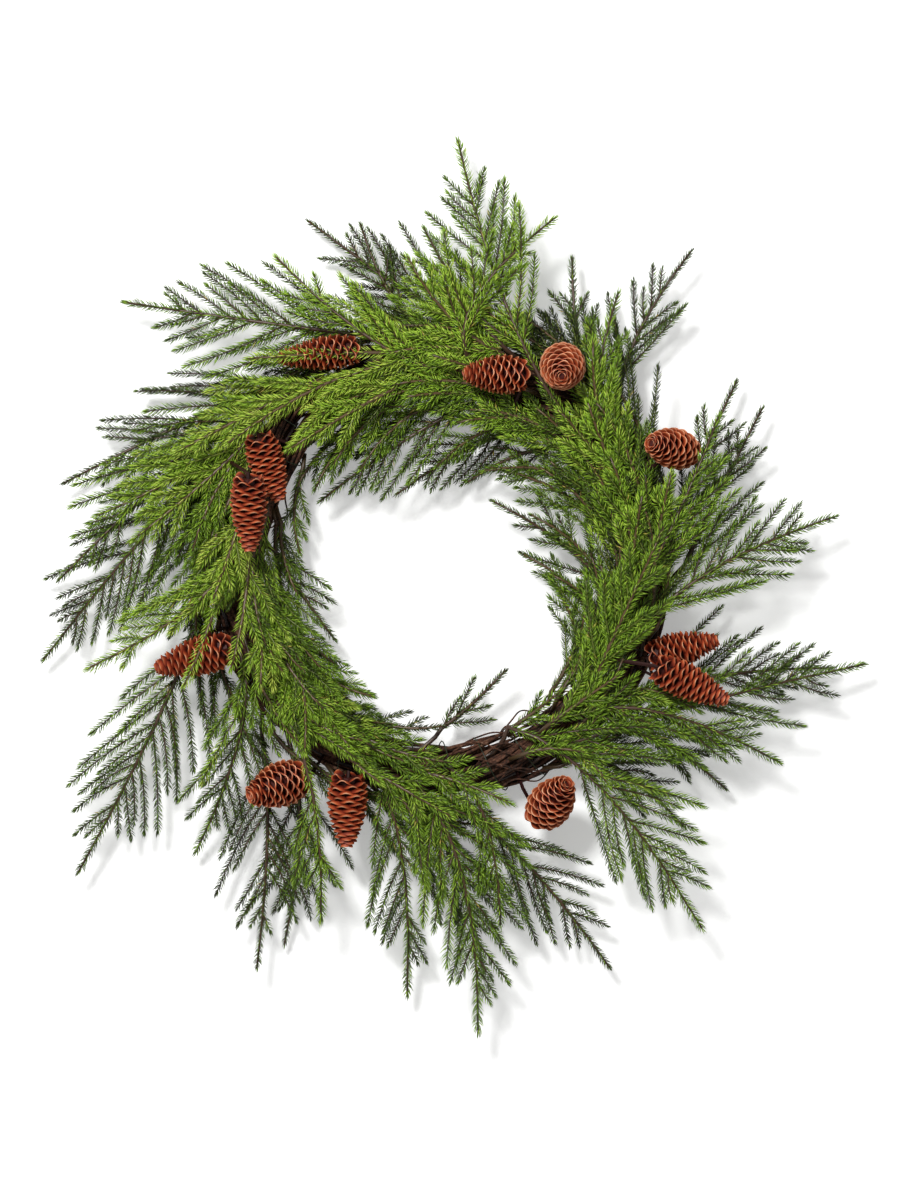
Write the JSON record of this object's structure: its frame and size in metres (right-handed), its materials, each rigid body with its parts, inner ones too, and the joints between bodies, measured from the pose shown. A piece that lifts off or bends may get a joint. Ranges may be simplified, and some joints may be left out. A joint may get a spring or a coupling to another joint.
{
  "type": "evergreen wreath",
  "caption": "Round evergreen wreath: a twisted grapevine ring with swept needle sprays and spruce cones wired round it, open in the middle.",
  "frame": {"origin": "middle of the wreath's outline, on the surface it lies on", "axes": "+Z out of the wreath's front, +Y towards its top as it hangs, +X to the right as seen from the front"},
  "size_m": [0.7193, 0.7777, 0.115],
  "materials": {
    "vine": "dry dark-brown bark",
    "wire": "dark green enamel",
    "spray": "green twigs with needles",
    "cone": "dry rust-brown scales"
  },
  "bodies": {
    "root": {"vine_hank_1": "vine", "vine_hank_2": "vine", "vine_hank_3": "vine", "vine_hank_4": "vine", "binding_wire": "wire", "cone_01": "cone", "cone_02": "cone", "cone_03": "cone", "cone_04": "cone", "cone_05": "cone", "cone_06": "cone", "cone_07": "cone", "cone_08": "cone", "cone_09": "cone", "cone_10": "cone", "cone_11": "cone", "cone_12": "cone", "spray_01": "spray", "spray_02": "spray", "spray_03": "spray", "spray_04": "spray", "spray_05": "spray", "spray_06": "spray", "spray_07": "spray", "spray_08": "spray", "spray_09": "spray", "spray_10": "spray", "spray_11": "spray", "spray_12": "spray", "spray_13": "spray", "spray_14": "spray", "spray_15": "spray", "spray_16": "spray", "spray_17": "spray", "spray_18": "spray", "spray_19": "spray", "spray_20": "spray", "spray_21": "spray", "spray_22": "spray", "spray_23": "spray", "spray_24": "spray", "spray_25": "spray", "spray_26": "spray", "spray_27": "spray", "spray_28": "spray", "spray_29": "spray", "spray_30": "spray", "spray_31": "spray", "spray_32": "spray", "spray_33": "spray", "spray_34": "spray", "spray_35": "spray", "spray_36": "spray", "spray_37": "spray", "spray_38": "spray", "spray_39": "spray", "spray_40": "spray", "spray_41": "spray", "spray_42": "spray", "spray_43": "spray"}
  },
  "joints": []
}
